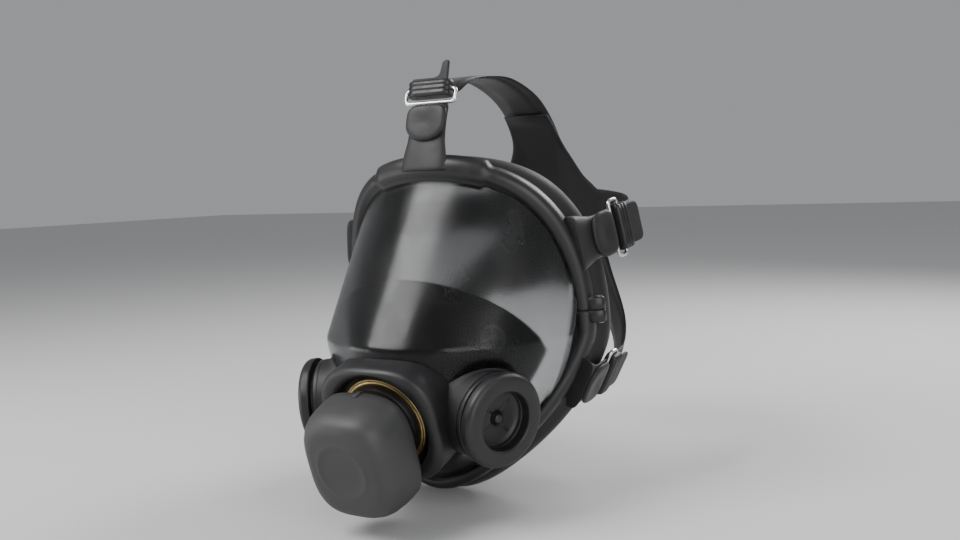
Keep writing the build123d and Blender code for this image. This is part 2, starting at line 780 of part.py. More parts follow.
arm_mid = arm_low + strap_thickness / 2
with BuildPart() as head_harness:
    add(head_shell(pad_thickness / 2))
    add(head_shell(-pad_thickness / 2), mode=Mode.SUBTRACT)
    with BuildSketch(Plane.XZ.offset(-head_centre_y - 15)):
        Polygon(*pad_half_outline, *[(-x, z) for x, z in reversed(pad_half_outline) if x], align=None)
    extrude(amount=-170, mode=Mode.INTERSECT)
    for side, word in ((1, "left"), (-1, "right")):
        for level, route in (
            ("upper", ((94, 121, 60), (81, 144, 63), (61, 0, 65), (40, 0, 64), (20, 0, 62))),
            ("lower", ((86, 111, -37), (76, 138, -20), (56, 0, 6), (40, 0, 24), (22, 0, 40))),
        ):
            plane = buckle_plane[f"{level}_{word}"]
            first = slider_end + arm_gap
            stations = []
            for reach in (first, first + 7):
                point = plane.origin + plane.x_dir * reach + plane.z_dir * arm_mid
                stations.append((point, plane.y_dir * side, arm_half_width))
            for x, y, z in route:
                point = head_point(side * x, z) if y == 0 else Vector(side * x, y, z)
                normal = head_normal(point)
                previous = stations[-1][0]
                across = (point - previous).cross(normal).normalized() * -side
                if across.dot(stations[-1][1]) < 0:
                    across = across * -1
                stations.append((point, across, arm_half_width + (3 if y == 0 else 1)))
            add(strap_solid(stations))
    plane = buckle_plane["top"]
    start = plane.origin + plane.x_dir * 10 + plane.z_dir * (slider_low - arm_gap - 0.3)
    stations = [(start, Vector(1, 0, 0), arm_half_width)]
    for y, z in ((38, 156.0), (62, 160.5), (92, 160.5), (0, 151.0), (0, 136.0), (0, 117.0), (0, 98.0), (0, 82.0)):
        point = Vector(0, y, z) if y else head_point(0, z)
        stations.append((point, Vector(1, 0, 0), top_strap_half_width))
    add(strap_solid(stations))
keep(head_harness.part, "head_harness")

for name, part in made:
    print(name, len(part.solids()), round(part.volume))
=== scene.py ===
from math import atan2, cos, hypot, pi, radians, sin, sqrt

import bmesh
import bpy
from mathutils import Matrix, Vector


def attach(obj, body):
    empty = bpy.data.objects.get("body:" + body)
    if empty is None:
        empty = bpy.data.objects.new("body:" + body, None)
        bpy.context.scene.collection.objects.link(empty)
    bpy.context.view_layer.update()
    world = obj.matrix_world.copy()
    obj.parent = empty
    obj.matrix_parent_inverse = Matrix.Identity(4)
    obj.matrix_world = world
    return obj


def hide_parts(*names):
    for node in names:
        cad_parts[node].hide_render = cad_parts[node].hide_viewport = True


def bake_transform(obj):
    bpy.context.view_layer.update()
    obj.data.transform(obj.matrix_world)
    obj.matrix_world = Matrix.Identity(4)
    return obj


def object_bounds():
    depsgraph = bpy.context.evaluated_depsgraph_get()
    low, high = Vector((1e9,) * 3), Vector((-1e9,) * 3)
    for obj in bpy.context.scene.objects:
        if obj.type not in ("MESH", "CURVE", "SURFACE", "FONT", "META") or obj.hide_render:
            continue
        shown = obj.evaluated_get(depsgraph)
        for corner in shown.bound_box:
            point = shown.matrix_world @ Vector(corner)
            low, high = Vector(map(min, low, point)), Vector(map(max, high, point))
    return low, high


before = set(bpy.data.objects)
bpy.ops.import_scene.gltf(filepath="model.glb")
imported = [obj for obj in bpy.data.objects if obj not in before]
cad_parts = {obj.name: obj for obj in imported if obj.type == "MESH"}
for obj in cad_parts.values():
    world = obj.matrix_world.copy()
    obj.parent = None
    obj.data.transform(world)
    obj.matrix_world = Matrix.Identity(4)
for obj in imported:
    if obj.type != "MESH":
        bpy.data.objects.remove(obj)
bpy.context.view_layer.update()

# ---- Lens
# One clear pane of moulded polycarbonate, tinted grey, 2.5 mm thick. It wraps the face from forehead to chin and
# its edge sits in the groove of the frame. Sizes in this file are millimetres until a piece is finished.
LENS_TOP, LENS_BOTTOM, BROW = 99.5, -109.0, -10.0
SECTION_DEPTH = 108.0
RIM_SETBACK, RIM_RADIUS = 8.0, 115.0


def lens_front(z):
    """How far forward the lens stands on the middle line at a level."""
    if z >= BROW:
        return -58.0 + (z - BROW) / (LENS_TOP - BROW) * 66.0
    return -58.0 + 66.0 * ((BROW - z) / (BROW - LENS_BOTTOM)) ** 2


def lens_width(z):
    """Half the width of the lens's level section."""
    if z >= BROW:
        return 89.6 + 6.0 * ((z - BROW) / (LENS_TOP - BROW)) ** 6
    return 89.6 - 42.0 * ((BROW - z) / (BROW - LENS_BOTTOM)) ** 1.32


def lens_y(x, z, inset=0.0):
    """The lens's surface, or one that lies inset inside it, at a width and a level."""
    half = lens_width(z) - inset
    share = max(1 - (x / half) ** 2, 0.0004)
    return lens_front(z) + SECTION_DEPTH - (SECTION_DEPTH - inset) * sqrt(share)


def rim_y(x):
    """The upright curve that the lens's edge lies on."""
    return RIM_SETBACK + RIM_RADIUS - sqrt(RIM_RADIUS**2 - x * x)


def edge_reach(angle, middle_z, inside):
    """How far from the middle a surface runs at an angle from straight up before inside() stops being true."""
    near, far = 20.0, 125.0
    for _ in range(36):
        reach = (near + far) / 2
        if inside(reach * sin(angle), middle_z + reach * cos(angle)):
            near = reach
        else:
            far = reach
    return near


def rim_point(angle):
    """A point of the lens's edge. The angle runs from the top towards the wearer's left."""
    def inside(x, z):
        return abs(x) < lens_width(z) - 1.25 and lens_y(x, z, 1.25) < rim_y(x)
    reach = edge_reach(angle, -8.0, inside)
    x = reach * sin(angle)
    return Vector((x, rim_y(x), -8.0 + reach * cos(angle)))


def disc_grid(steps, reach_at, place):
    """A grid pulled into the outline that reach_at(angle) gives, then set on a surface by place(x, z)."""
    bm = bmesh.new()
    bmesh.ops.create_grid(bm, x_segments=steps, y_segments=steps, size=1.0)
    for v in bm.verts:
        s, t = v.co.x, v.co.y
        x, z = s * sqrt(1 - t * t / 2), t * sqrt(1 - s * s / 2)
        reach = reach_at(atan2(x, z))
        v.co = place(x * reach, z * reach)
    return bm


def finish_piece(name, bm, material, body, stands_for=(), smooth=True, merge=0.002, recalc=True):
    """Turns a bmesh in millimetres into a piece in metres that rides on its body."""
    bmesh.ops.remove_doubles(bm, verts=bm.verts, dist=merge)
    if recalc:
        bmesh.ops.recalc_face_normals(bm, faces=bm.faces)
    bmesh.ops.scale(bm, vec=(0.001, 0.001, 0.001), verts=bm.verts)
    mesh = bpy.data.meshes.new(name)
    bm.to_mesh(mesh)
    bm.free()
    mesh.shade_smooth() if smooth else mesh.shade_flat()
    piece = bpy.data.objects.new(name, mesh)
    bpy.context.scene.collection.objects.link(piece)
    mesh.materials.append(material)
    if stands_for:
        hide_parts(*stands_for)
    if body:
        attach(piece, body)
    return piece


def add_modifier(piece, kind, **values):
    """A live modifier with its values."""
    modifier = piece.modifiers.new(kind.lower(), kind)
    for key, value in values.items():
        setattr(modifier, key, value)
    return modifier


def wear_group():
    """Faint mottling, specks and a fine moulded grain, shared by every solid finish."""
    group = bpy.data.node_groups.new("handled_surface", "ShaderNodeTree")
    face = group.interface
    face.new_socket("Colour", in_out="INPUT", socket_type="NodeSocketColor")
    face.new_socket("Worn Colour", in_out="INPUT", socket_type="NodeSocketColor")
    for name, value in (("Roughness", 0.5), ("Roughness Swing", 0.12), ("Mottle", 0.35),
                        ("Mottle Scale", 60.0), ("Grain Scale", 1800.0), ("Grain Height", 0.25)):
        socket = face.new_socket(name, in_out="INPUT", socket_type="NodeSocketFloat")
        socket.default_value = value
    face.new_socket("Colour", in_out="OUTPUT", socket_type="NodeSocketColor")
    face.new_socket("Roughness", in_out="OUTPUT", socket_type="NodeSocketFloat")
    face.new_socket("Normal", in_out="OUTPUT", socket_type="NodeSocketVector")
    nodes, links = group.nodes, group.links
    inputs, outputs = nodes.new("NodeGroupInput"), nodes.new("NodeGroupOutput")
    place = nodes.new("ShaderNodeTexCoord")
    broad = nodes.new("ShaderNodeTexNoise")
    broad.inputs["Detail"].default_value = 5.0
    fine = nodes.new("ShaderNodeTexNoise")
    fine.inputs["Detail"].default_value = 2.0
    links.new(place.outputs["Object"], broad.inputs["Vector"])
    links.new(place.outputs["Object"], fine.inputs["Vector"])
    links.new(inputs.outputs["Mottle Scale"], broad.inputs["Scale"])
    links.new(inputs.outputs["Grain Scale"], fine.inputs["Scale"])
    patches = nodes.new("ShaderNodeMapRange")
    patches.inputs["From Min"].default_value = 0.42
    patches.inputs["From Max"].default_value = 0.72
    links.new(broad.outputs["Fac"], patches.inputs["Value"])
    amount = nodes.new("ShaderNodeMath")
    amount.operation = "MULTIPLY"
    links.new(patches.outputs["Result"], amount.inputs[0])
    links.new(inputs.outputs["Mottle"], amount.inputs[1])
    mix = nodes.new("ShaderNodeMix")
    mix.data_type = "RGBA"
    links.new(amount.outputs[0], mix.inputs["Factor"])
    links.new(inputs.outputs["Colour"], mix.inputs["A"])
    links.new(inputs.outputs["Worn Colour"], mix.inputs["B"])
    swing = nodes.new("ShaderNodeMath")
    swing.operation = "MULTIPLY_ADD"
    links.new(patches.outputs["Result"], swing.inputs[0])
    links.new(inputs.outputs["Roughness Swing"], swing.inputs[1])
    links.new(inputs.outputs["Roughness"], swing.inputs[2])
    bump = nodes.new("ShaderNodeBump")
    bump.inputs["Distance"].default_value = 0.0001
    links.new(fine.outputs["Fac"], bump.inputs["Height"])
    links.new(inputs.outputs["Grain Height"], bump.inputs["Strength"])
    links.new(mix.outputs["Result"], outputs.inputs["Colour"])
    links.new(swing.outputs[0], outputs.inputs["Roughness"])
    links.new(bump.outputs["Normal"], outputs.inputs["Normal"])
    return group


handled_surface = wear_group()


def finish(name, colour, worn, metallic=0.0, specular=0.5, coat=0.0, sheen=0.0, **values):
    """A solid finish: the shared surface group in front of one Principled shader."""
    material = bpy.data.materials.new(name)
    material.use_nodes = True
    nodes, links = material.node_tree.nodes, material.node_tree.links
    shader = nodes["Principled BSDF"]
    shader.inputs["Metallic"].default_value = metallic
    shader.inputs["Specular IOR Level"].default_value = specular
    shader.inputs["Coat Weight"].default_value = coat
    shader.inputs["Coat Roughness"].default_value = 0.25
    shader.inputs["Sheen Weight"].default_value = sheen
    shader.inputs["Sheen Roughness"].default_value = 0.45
    group = nodes.new("ShaderNodeGroup")
    group.node_tree = handled_surface
    group.inputs["Colour"].default_value = (*colour, 1.0)
    group.inputs["Worn Colour"].default_value = (*worn, 1.0)
    for key, value in values.items():
        group.inputs[key.replace("_", " ")].default_value = value
    links.new(group.outputs["Colour"], shader.inputs["Base Color"])
    links.new(group.outputs["Roughness"], shader.inputs["Roughness"])
    links.new(group.outputs["Normal"], shader.inputs["Normal"])
    return material


def lens_glass():
    """Grey polycarbonate with wiped-on haze and a few fine scratches."""
    material = bpy.data.materials.new("lens_glass")
    material.use_nodes = True
    nodes, links = material.node_tree.nodes, material.node_tree.links
    shader = nodes["Principled BSDF"]
    shader.inputs["Transmission Weight"].default_value = 1.0
    shader.inputs["IOR"].default_value = 1.30
    place = nodes.new("ShaderNodeTexCoord")
    stretch = nodes.new("ShaderNodeMapping")
    stretch.inputs["Scale"].default_value = (1.0, 1.0, 0.35)
    haze = nodes.new("ShaderNodeTexNoise")
    haze.inputs["Scale"].default_value = 38.0
    haze.inputs["Detail"].default_value = 6.0
    links.new(place.outputs["Object"], stretch.inputs["Vector"])
    links.new(stretch.outputs["Vector"], haze.inputs["Vector"])
    tint = nodes.new("ShaderNodeMix")
    tint.data_type = "RGBA"
    tint.inputs["A"].default_value = (0.45, 0.455, 0.46, 1.0)
    tint.inputs["B"].default_value = (0.36, 0.365, 0.37, 1.0)
    links.new(haze.outputs["Fac"], tint.inputs["Factor"])
    links.new(tint.outputs["Result"], shader.inputs["Base Color"])
    rough = nodes.new("ShaderNodeMapRange")
    rough.inputs["From Min"].default_value = 0.35
    rough.inputs["From Max"].default_value = 0.75
    rough.inputs["To Min"].default_value = 0.16
    rough.inputs["To Max"].default_value = 0.30
    links.new(haze.outputs["Fac"], rough.inputs["Value"])
    links.new(rough.outputs["Result"], shader.inputs["Roughness"])
    return material


rim_reach = {}


def lens_reach(angle):
    """The lens's outline, remembered because the grid asks for it many times."""
    key = round(angle, 3)
    if key not in rim_reach:
        point = rim_point(key)
        rim_reach[key] = hypot(point.x, point.z + 8.0)
    return rim_reach[key]


bm = disc_grid(110, lens_reach, lambda x, z: Vector((x, lens_y(x, z - 8.0), z - 8.0)))
lens = finish_piece("lens", bm, lens_glass(), "mask", ["lens"])
add_modifier(lens, "SOLIDIFY", thickness=0.0024, offset=-1.0)

# ---- Frame round the lens
# Two moulded half-frames grip the lens's edge. They meet by the temples, where a screw clamps a pair of ears, and
# the upper one swells over the top strap's lug.
JOINT = radians(82.0)
BEAD_OUT, BEAD_BACK = 7.4, 8.0


def rim_axes(angle):
    """Point of the rim with its outward, forward and along directions."""
    along = (rim_point(angle + 0.01) - rim_point(angle - 0.01)).normalized()
    back = (Vector((0, 1, 0)) - along * along.y).normalized()
    return rim_point(angle), along.cross(back), back * -1, along


def ring_run(rings, closed=False, caps=True):
    """Extrudes a loop of points through a row of rings."""
    bm = bmesh.new()
    first = [bm.verts.new(p) for p in rings[0]]
    count = len(first)
    start = [bm.edges.new((first[i], first[(i + 1) % count])) for i in range(count)]
    verts, edges = first, start
    for ring in rings[1:]:
        made = bmesh.ops.extrude_edge_only(bm, edges=edges)["geom"]
        fresh = {g for g in made if isinstance(g, bmesh.types.BMVert)}
        row = []
        for v in verts:
            row.append(next(e.other_vert(v) for e in v.link_edges if e.other_vert(v) in fresh))
        for v, p in zip(row, ring):
            v.co = p
        verts = row
        edges = [bm.edges.get((row[i], row[(i + 1) % count])) for i in range(count)]
    if closed:
        bmesh.ops.bridge_loops(bm, edges=start + edges)
    elif caps:
        bmesh.ops.holes_fill(bm, edges=start, sides=0)
        bmesh.ops.holes_fill(bm, edges=edges, sides=0)
    return bm


def join_into(target, other):
    """Adds one bmesh to another."""
    mesh = bpy.data.meshes.new("joined")
    other.to_mesh(mesh)
    other.free()
    target.from_mesh(mesh)
    bpy.data.meshes.remove(mesh)
    return target


def frame_outline(swell):
    """The frame's section, grown or thinned across the lens by swell, with a step down to a thin inner lip."""
    points = []
    for i in range(36):
        turn = 2 * pi * i / 36
        out, fore = cos(turn), sin(turn)
        x = (BEAD_OUT + swell) * (abs(out) ** 0.86) * (1 if out > 0 else -1)
        y = (BEAD_BACK + swell * 0.4) * (abs(fore) ** 0.9) * (1 if fore > 0 else -1)
        if out < -0.2 and fore > -0.1:
            y *= 0.80
            x *= 1.0 + 0.10 * fore
        points.append((x, y))
    return points


def frame_run(start, end, count, swell_at):
    """One half-frame from one angle of the rim to another, its ends capped flat."""
    rings = []
    stops = [start + (end - start) * i / (count - 1) for i in range(count)]
    for i, angle in enumerate(stops):
        origin, out, fore, _ = rim_axes(angle)
        swell = swell_at(angle)
        rings.append([origin + out * x + fore * y for x, y in frame_outline(swell)])
    return ring_run(rings)


def top_swell(angle):
    """The swelling over the top lug, with a short waist at each of its ends."""
    size = abs(angle)
    edge = radians(22.0)
    if size < edge - 0.03:
        return 2.6
    if size < edge:
        return 2.6 - 3.2 * (size - edge + 0.03) / 0.03
    return -0.6 + 0.6 * min((size - edge) / 0.04, 1.0)


def ears(turn):
    """The pair of clamp ears at the ends of a half-frame: rounded blocks that run to a point outwards."""
    pair = bmesh.new()
    for side in (1, -1):
        origin, out, fore, along = rim_axes(side * JOINT)
        up = along * (-side * turn)
        rings = []
        for height, grow in ((0.2, -0.35), (0.5, 0.0), (4.0, 0.0), (7.4, -0.3), (8.1, -0.8), (8.4, -1.6)):
            ring = []
            for i in range(28):
                angle = 2 * pi * i / 28
                x = 8.0 + (7.4 + grow) * abs(cos(angle)) ** 0.75 * (1 if cos(angle) > 0 else -1)
                y = (5.4 + grow) * abs(sin(angle)) ** 0.75 * (1 if sin(angle) > 0 else -1)
                y *= 1.0 - 0.4 * max(cos(angle), 0.0)
                ring.append(origin + out * x + fore * y + up * height)
            rings.append(ring)
        join_into(pair, ring_run(rings))
    return pair


frame_black = finish("frame_black", (0.009, 0.009, 0.010), (0.022, 0.022, 0.022), Roughness=0.38, Mottle=0.30,
                     Roughness_Swing=0.14, Mottle_Scale=70.0, Grain_Scale=2600.0, Grain_Height=0.22)
split = radians(0.15)
bm = frame_run(-JOINT + split, JOINT - split, 150, top_swell)
join_into(bm, ears(1))
finish_piece("lens_frame_upper", bm, frame_black, "mask", ["lens_frame_upper"])


def chin_slim(angle):
    """The lower half-frame gets slimmer from its ears towards the chin."""
    return -2.2 * min(max((min(angle, 2 * pi - angle) - radians(90.0)) / radians(35.0), 0.0), 1.0)


bm = frame_run(JOINT + split, 2 * pi - JOINT - split, 150, chin_slim)
join_into(bm, ears(-1))
finish_piece("lens_frame_lower", bm, frame_black, "mask", ["lens_frame_lower"])


def repaint(node, material):
    """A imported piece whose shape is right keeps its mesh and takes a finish."""
    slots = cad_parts[node].material_slots
    for entry in slots:
        entry.material = material


screw_steel = finish("screw_steel", (0.30, 0.30, 0.31), (0.16, 0.15, 0.14), metallic=0.9, Roughness=0.34,
                     Roughness_Swing=0.2, Mottle=0.6, Mottle_Scale=400.0, Grain_Scale=5000.0,
                     Grain_Height=0.15)
repaint("frame_screws", screw_steel)

# ---- Face seal
# Soft black rubber bonded behind the frame. Its wall bellows outwards, then turns in to a thin feathered lip that
# lies on the skin.
SEAL_FRONT = -BEAD_BACK - 0.9


def seal_outline():
    """The seal's section as a closed loop, outwards and forwards from the rim."""
    outer = [(-3.2, 0.0), (1.5, 0.2), (4.4, -0.4), (7.0, -3.2), (9.0, -6.8), (9.5, -10.5), (9.0, -14.0),
             (7.0, -17.6), (3.6, -20.6), (-1.0, -22.6), (-5.6, -23.2), (-9.4, -22.6), (-11.0, -21.6)]
    inner = [(-11.0, -20.9), (-9.0, -21.2), (-5.2, -21.3), (-0.8, -20.2), (2.8, -17.9), (5.4, -15.2),
             (6.7, -12.6), (6.8, -10.0), (6.0, -7.4), (4.2, -4.8), (1.6, -3.0), (-3.2, -2.9)]
    return outer + inner


def seal_rings(count):
    rings = []
    for i in range(count):
        angle = 2 * pi * i / count
        origin, out, fore, _ = rim_axes(angle)
        rings.append([origin + out * x + fore * (SEAL_FRONT + y) for x, y in seal_outline()])
    return rings


seal_rubber = finish("seal_rubber", (0.008, 0.008, 0.009), (0.020, 0.020, 0.019), specular=0.4, sheen=0.12,
                     Roughness=0.56, Roughness_Swing=0.14, Mottle=0.45, Mottle_Scale=45.0, Grain_Scale=3200.0,
                     Grain_Height=0.18)
bm = ring_run(seal_rings(180), closed=True)
seal = finish_piece("face_seal", bm, seal_rubber, "mask", ["face_seal"])
add_modifier(seal, "SUBSURF", levels=1, render_levels=1)

# ---- Nose cup
# A thin dark rubber cup behind the lower lens. It clips over the neck of the front port, has a rolled edge over the
# bridge of the nose, and carries two small check valves high on its sides.
CUP_MIDDLE = -42.0
CUP_SLOPE = radians(41.5)


def cup_inset(z):
    """How far inside the lens the cup lies: well clear of the ports, and close behind the pane by the nose."""
    share = min(max((z + 22.0) / 44.0, 0.0), 1.0)
    return 15.0 - 9.5 * share * share * (3 - 2 * share)


def cup_inside(x, z):
    """True where the cup's surface lies below its sloping mouth and ahead of the rim."""
    if abs(x) > lens_width(z) - cup_inset(z) - 1.0:
        return False
    y = lens_y(x, z, cup_inset(z))
    over = (y + 29.0) * sin(CUP_SLOPE) + (z - 30.0) * cos(CUP_SLOPE)
    return over < -1.5 and y < rim_y(x) - 6.0


cup_rubber = finish("cup_rubber", (0.012, 0.012, 0.013), (0.024, 0.024, 0.024), specular=0.35, sheen=0.10,
                    Roughness=0.58, Mottle=0.35, Mottle_Scale=60.0, Grain_Scale=2600.0, Grain_Height=0.2)
bm = disc_grid(80, lambda angle: edge_reach(angle, CUP_MIDDLE, cup_inside),
               lambda x, z: Vector((x, lens_y(x, z + CUP_MIDDLE, cup_inset(z + CUP_MIDDLE)), z + CUP_MIDDLE)))
bmesh.ops.recalc_face_normals(bm, faces=bm.faces)
for out, back in ((1.2, 1.6), (0.6, 3.2), (-1.6, 4.2), (-4.4, 4.4)):
    rim_edges = [e for e in bm.edges if e.is_boundary]
    made = bmesh.ops.extrude_edge_only(bm, edges=rim_edges)["geom"]
    for v in (g for g in made if isinstance(g, bmesh.types.BMVert)):
        old = next(e.other_vert(v) for e in v.link_edges if not e.is_boundary)
        ray = Vector((old.co.x, 0.0, old.co.z - CUP_MIDDLE)).normalized()
        v.co = old.co + ray * (out * 0.5) + Vector((0.0, back * 0.45, 0.0))
for side in (1, -1):
    axis = Vector((side * 0.80, -0.50, 0.33)).normalized()
    foot = Vector((side * 52.0, -9.0, -8.0))
    for v in bm.verts:
        flat = (v.co - foot) - axis * (v.co - foot).dot(axis)
        if flat.length < 13.0 and (v.co - foot).length < 20.0:
            pull = min(1.0, (13.0 - flat.length) / 3.0)
            height = (v.co - foot).dot(axis)
            v.co += axis * (-0.6 - height) * pull
cup = finish_piece("nose_cup", bm, cup_rubber, "mask", ["nose_cup"])
add_modifier(cup, "SOLIDIFY", thickness=0.0022, offset=-1.0)
valve_black = finish("valve_black", (0.060, 0.060, 0.062), (0.10, 0.10, 0.10), Roughness=0.45, Mottle=0.3,
                     Mottle_Scale=200.0, Grain_Scale=3000.0, Grain_Height=0.15)
valve_silicone = finish("valve_silicone", (0.42, 0.39, 0.33), (0.34, 0.31, 0.26), specular=0.4, Roughness=0.5,
                        Mottle=0.5, Mottle_Scale=150.0, Grain_Scale=2500.0, Grain_Height=0.2)
for word in ("left", "right"):
    repaint(f"cup_valve_seat_{word}", valve_black)
    repaint(f"cup_valve_flap_{word}", valve_silicone)

# ---- Side ports
# Moulded black inlet ports: a rounded ring stands on a groove and a base flange, with a round mouth, a spoked seat
# and a small knob in the middle. A boss fills the space down to the curved lens and a ring inside clamps it.
PORT_SWING, PORT_DROOP = radians(69.0), radians(6.0)


def axis_frame(origin, axis, side_hint):
    """Matrix whose z is the axis and whose x is square to it and to the hint."""
    z = axis.normalized()
    x = side_hint.cross(z).normalized()
    y = z.cross(x)
    return Matrix.Translation(origin) @ Matrix((x, y, z)).transposed().to_4x4()


def side_port_frame(side):
    """The frame of a side port: z points out of its mouth."""
    axis = Vector((side * sin(PORT_SWING) * cos(PORT_DROOP), -cos(PORT_SWING) * cos(PORT_DROOP),
                   -sin(PORT_DROOP)))
    return axis_frame(Vector((side * 73.0, -32.3, -53.0)), axis, Vector((0, 0, 1)))


def turned(profile, steps=72, closed=True):
    """Spins a profile of (radius, height) about z."""
    bm = bmesh.new()
    verts = [bm.verts.new((r, 0.0, h)) for r, h in profile]
    pairs = list(zip(verts, verts[1:])) + ([(verts[-1], verts[0])] if closed else [])
    edges = [bm.edges.new(pair) for pair in pairs]
    bmesh.ops.spin(bm, geom=verts + edges, cent=(0, 0, 0), axis=(0, 0, 1), angle=2 * pi, steps=steps,
                   use_merge=True)
    bmesh.ops.remove_doubles(bm, verts=bm.verts, dist=0.001)
    bmesh.ops.recalc_face_normals(bm, faces=bm.faces)
    return bm


def arc(centre_r, centre_h, radius, start, end, count):
    """Points of a rounded corner in a profile, angles in degrees."""
    turns = [radians(start + (end - start) * i / (count - 1)) for i in range(count)]
    return [(centre_r + radius * cos(t), centre_h + radius * sin(t)) for t in turns]


port_black = finish("port_black", (0.009, 0.009, 0.010), (0.024, 0.024, 0.025), Roughness=0.40,
                    Roughness_Swing=0.16, Mottle=0.35, Mottle_Scale=90.0, Grain_Scale=2800.0,
                    Grain_Height=0.16)
base_black = finish("base_black", (0.009, 0.009, 0.010), (0.020, 0.020, 0.021), Roughness=0.50, Mottle=0.3,
                    Mottle_Scale=80.0, Grain_Scale=2200.0, Grain_Height=0.25)
ring_profile = (
    arc(19.6, -1.0, 1.6, 180, 90, 5) + arc(25.0, -3.6, 4.0, 80, 0, 9) + [(29.0, -5.6)]
    + arc(28.0, -6.5, 1.0, 0, -90, 4) + [(24.8, -7.5), (24.5, -7.8), (24.5, -9.4), (24.8, -9.7)]
    + arc(26.7, -10.5, 0.8, 90, 0, 4) + arc(26.7, -12.5, 0.8, 0, -90, 4)
    + [(19.6, -13.3), (19.6, -26.0), (16.9, -26.0)]
    + [(16.9, -6.3), (17.3, -6.0), (17.6, -5.6), (17.6, -2.2)]
)
for side, word in ((1, "left"), (-1, "right")):
    place = side_port_frame(side)
    bm = turned(ring_profile)
    hub = turned([(0.0, -11.2), (3.0, -11.2), (4.6, -9.6), (3.6, -9.0), (3.4, -7.4), (2.9, -6.4), (1.6, -5.9),
                  (0.0, -5.8)], steps=32, closed=False)
    join_into(bm, hub)
    seat = turned([(0.0, -11.0), (17.4, -11.0), (17.4, -8.2), (16.6, -8.4), (15.6, -9.2), (14.0, -9.8),
                   (11.0, -10.1), (7.4, -10.2), (5.0, -10.0), (4.4, -9.6), (0.0, -9.6)], steps=64,
                  closed=False)
    join_into(bm, seat)
    for spoke in range(4):
        bar = bmesh.new()
        bmesh.ops.create_cube(bar, size=1.0)
        bmesh.ops.scale(bar, vec=(13.0, 1.5, 1.0), verts=bar.verts)
        bmesh.ops.bevel(bar, geom=bar.edges[:], offset=0.3, segments=2, profile=0.5, affect="EDGES",
                        material=-1)
        bmesh.ops.translate(bar, vec=(10.2, 0, -10.2), verts=bar.verts)
        bmesh.ops.rotate(bar, cent=(0, 0, 0), matrix=Matrix.Rotation(pi / 4 + spoke * pi / 2, 3, "Z"),
                         verts=bar.verts)
        join_into(bm, bar)
    bmesh.ops.transform(bm, matrix=place, verts=bm.verts)
    finish_piece(f"side_port_{word}", bm, port_black, "mask", [f"side_port_{word}"],
                 recalc=False)

    rings = []
    base_top = 13.0
    for radius, drop in ((27.6, 0.0), (27.6, 0.3), (27.6, 0.6), (27.9, 0.85), (28.8, 1.0)):
        ring = []
        for i in range(96):
            turn = 2 * pi * i / 96
            across = Vector((radius * cos(turn), radius * sin(turn), 0.0))
            near, far = -10.0, -80.0
            for _ in range(24):
                height = (near + far) / 2
                spot = place @ (across + Vector((0, 0, height)))
                hits = abs(spot.x) < lens_width(spot.z) and spot.y > lens_y(spot.x, spot.z)
                near, far = (near, height) if hits else (height, far)
            ring.append(place @ (across + Vector((0, 0, -base_top + (near + base_top) * drop))))
        rings.append(ring)
    finish_piece(f"side_base_{word}", ring_run(rings, caps=False), base_black, "mask",
                 [f"side_base_{word}"])
    repaint(f"side_nut_{word}", base_black)
    repaint(f"inhale_flap_{word}", valve_silicone)

# ---- Front housing
# One thick moulded block under the lens. Its front is a rounded square with a soft rim round a deep round recess,
# and its back is shaped to the lens.
FRONT_TILT = radians(18.0)
front_place = axis_frame(Vector((0.0, -60.0, -56.5)), Vector((0, -cos(FRONT_TILT), -sin(FRONT_TILT))),
                         Vector((0, 0, 1)))
if front_place.col[0].x < 0:
    front_place = front_place @ Matrix.Rotation(pi, 4, "Z")


def rounded_square(half_x, half_y, power, turn):
    """Point of a squared-off oval at a turn."""
    c, s = cos(turn), sin(turn)
    reach = (abs(c / half_x) ** power + abs(s / half_y) ** power) ** (-1 / power)
    return reach * c, reach * s


def lens_depth(place, x, y):
    """How far below a port's plane the lens lies, under a spot of it."""
    near, far = 6.0, -80.0
    for _ in range(26):
        height = (near + far) / 2
        spot = place @ Vector((x, y, height))
        hits = abs(spot.x) < lens_width(spot.z) and spot.y > lens_y(spot.x, spot.z)
        near, far = (near, height) if hits else (height, far)
    return near


housing_black = finish("housing_black", (0.009, 0.009, 0.010), (0.024, 0.024, 0.025), Roughness=0.44,
                       Roughness_Swing=0.16, Mottle=0.35, Mottle_Scale=60.0, Grain_Scale=2400.0,
                       Grain_Height=0.2)
stations = []
for share in (1.0, 0.75, 0.5, 0.3):
    stations.append((42.0, 38.5, 2.9, None, share))
for half_x, half_y, power, height in (
    (42.0, 38.5, 2.9, -4.2), (41.7, 38.2, 2.9, -2.8), (40.8, 37.5, 2.8, -1.3), (39.4, 36.6, 2.6, -0.4),
    (37.8, 35.8, 2.3, 0.0), (36.2, 35.0, 2.1, 0.0), (34.9, 34.5, 2.0, -0.4), (33.9, 33.9, 2.0, -1.4),
    (33.4, 33.4, 2.0, -3.0), (33.1, 33.1, 2.0, -6.6), (32.0, 32.0, 2.0, -8.4), (30.2, 30.2, 2.0, -9.0),
    (24.9, 24.9, 2.0, -9.0), (24.9, 24.9, 2.0, -11.4),
):
    stations.append((half_x, half_y, power, height, None))
rings = []
for half_x, half_y, power, height, share in stations:
    ring = []
    for i in range(128):
        x, y = rounded_square(half_x, half_y, power, 2 * pi * i / 128)
        level = height if share is None else -4.2 + (lens_depth(front_place, x, y) + 4.2) * share
        ring.append(front_place @ Vector((x, y, min(level, -4.2) if share is not None else level)))
    rings.append(ring)
finish_piece("front_housing", ring_run(rings, caps=False), housing_black, "mask",
             ["front_housing"])

